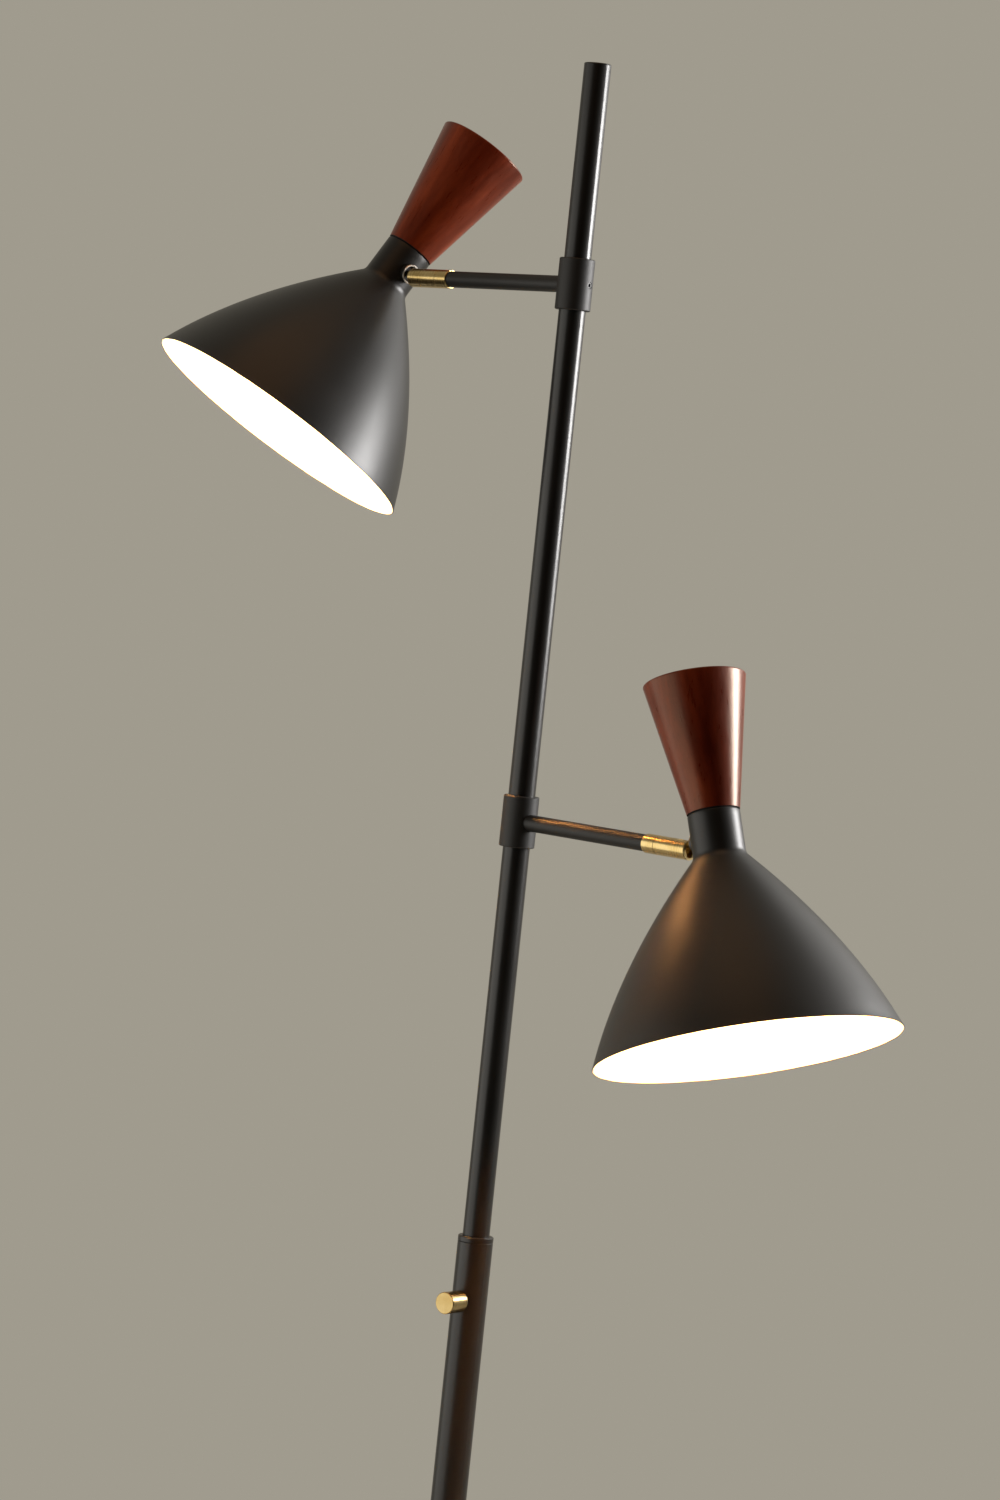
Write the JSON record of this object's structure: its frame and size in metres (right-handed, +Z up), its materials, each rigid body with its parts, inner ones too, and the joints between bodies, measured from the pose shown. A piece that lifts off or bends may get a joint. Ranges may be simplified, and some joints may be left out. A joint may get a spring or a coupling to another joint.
{
  "type": "tree floor lamp",
  "caption": "Slim black floor lamp: cone shades with turned wood tops on brass swivels at the ends of side arms, a rotary knob on the pole and a round weighted base.",
  "frame": {"origin": "centre of the base underside, on the floor and on the pole axis", "axes": "+Z up the pole; the upper arm points along -X, the lower arm along +X"},
  "size_m": [0.6812, 0.2951, 1.651],
  "materials": {
    "black_coat": "satin black powder coat",
    "shade_coat": "satin black outside, white inside",
    "satin_brass": "brushed, lacquered",
    "stained_wood": "red-brown stain, satin lacquer",
    "cast_iron": "as cast",
    "foot_pad": "soft sheet",
    "gland_rubber": "moulded",
    "wire_sleeve": "soft sleeve",
    "black_plastic": "moulded",
    "holder_plastic": "moulded",
    "shell_brass": "drawn",
    "bulb_cap_metal": "drawn",
    "bulb_plastic": "white",
    "bulb_opal": "opal, lit",
    "black_screw": "blackened",
    "plated_steel": "zinc plated"
  },
  "bodies": {
    "stand": {"base_pad": "foot_pad", "base_weight": "cast_iron", "base_cover": "black_coat", "cord_gland": "gland_rubber", "base_nut": "plated_steel", "base_stem": "plated_steel", "foot_plug": "plated_steel", "foot_ring": "black_coat", "lower_tube": "black_coat", "reducer_ring": "black_coat", "upper_tube": "black_coat", "top_cap": "black_coat", "riser_cable": "wire_sleeve", "switch_body": "black_plastic", "switch_nut": "plated_steel", "upper_collar": "black_coat", "upper_set_screw": "black_screw", "upper_arm_nipple": "plated_steel", "upper_arm_tube": "black_coat", "upper_swivel_base": "satin_brass", "upper_swivel_clip": "plated_steel", "lower_collar": "black_coat", "lower_set_screw": "black_screw", "lower_arm_nipple": "plated_steel", "lower_arm_tube": "black_coat", "lower_swivel_base": "satin_brass", "lower_swivel_clip": "plated_steel"},
    "knob_and_shaft": {"knob": "satin_brass", "switch_shaft": "plated_steel"},
    "upper_swivel": {"upper_swivel_fork": "satin_brass", "upper_swivel_pin": "satin_brass"},
    "upper_head": {"upper_swivel_tongue": "satin_brass", "upper_tongue_nut": "plated_steel", "upper_shade": "shade_coat", "upper_wood_cone": "stained_wood", "upper_neck_plate": "plated_steel", "upper_wood_screw_1": "plated_steel", "upper_wood_screw_2": "plated_steel", "upper_head_nipple": "plated_steel", "upper_lamp_holder": "holder_plastic", "upper_screw_shell": "shell_brass", "upper_bulb_cap": "bulb_cap_metal", "upper_bulb_body": "bulb_plastic", "upper_bulb_dome": "bulb_opal"},
    "lower_swivel": {"lower_swivel_fork": "satin_brass", "lower_swivel_pin": "satin_brass"},
    "lower_head": {"lower_swivel_tongue": "satin_brass", "lower_tongue_nut": "plated_steel", "lower_shade": "shade_coat", "lower_wood_cone": "stained_wood", "lower_neck_plate": "plated_steel", "lower_wood_screw_1": "plated_steel", "lower_wood_screw_2": "plated_steel", "lower_head_nipple": "plated_steel", "lower_lamp_holder": "holder_plastic", "lower_screw_shell": "shell_brass", "lower_bulb_cap": "bulb_cap_metal", "lower_bulb_body": "bulb_plastic", "lower_bulb_dome": "bulb_opal"}
  },
  "joints": [
    {"name": "knob_turn", "type": "hinge", "parent": "stand", "child": "knob_and_shaft", "pos_m": [0, 0, 0.7827], "axis": [0.2419, -0.9703, 0], "continuous": true},
    {"name": "upper_arm_roll", "type": "hinge", "parent": "stand", "child": "upper_swivel", "pos_m": [-0.1442, 0, 1.4973], "axis": [-1, 0, 0], "range_deg": [-165, 165]},
    {"name": "upper_head_tilt", "type": "hinge", "parent": "upper_swivel", "child": "upper_head", "pos_m": [-0.167, 0, 1.4973], "axis": [0, 0.8712, -0.4909], "range_deg": [-20.55, 62.45]},
    {"name": "lower_arm_roll", "type": "hinge", "parent": "stand", "child": "lower_swivel", "pos_m": [0.1442, 0, 1.1213], "axis": [1, 0, 0], "range_deg": [-165, 165]},
    {"name": "lower_head_tilt", "type": "hinge", "parent": "lower_swivel", "child": "lower_head", "pos_m": [0.167, 0, 1.1213], "axis": [0, -0.9999, 0.0105], "range_deg": [-28.95, 54.05]}
  ]
}
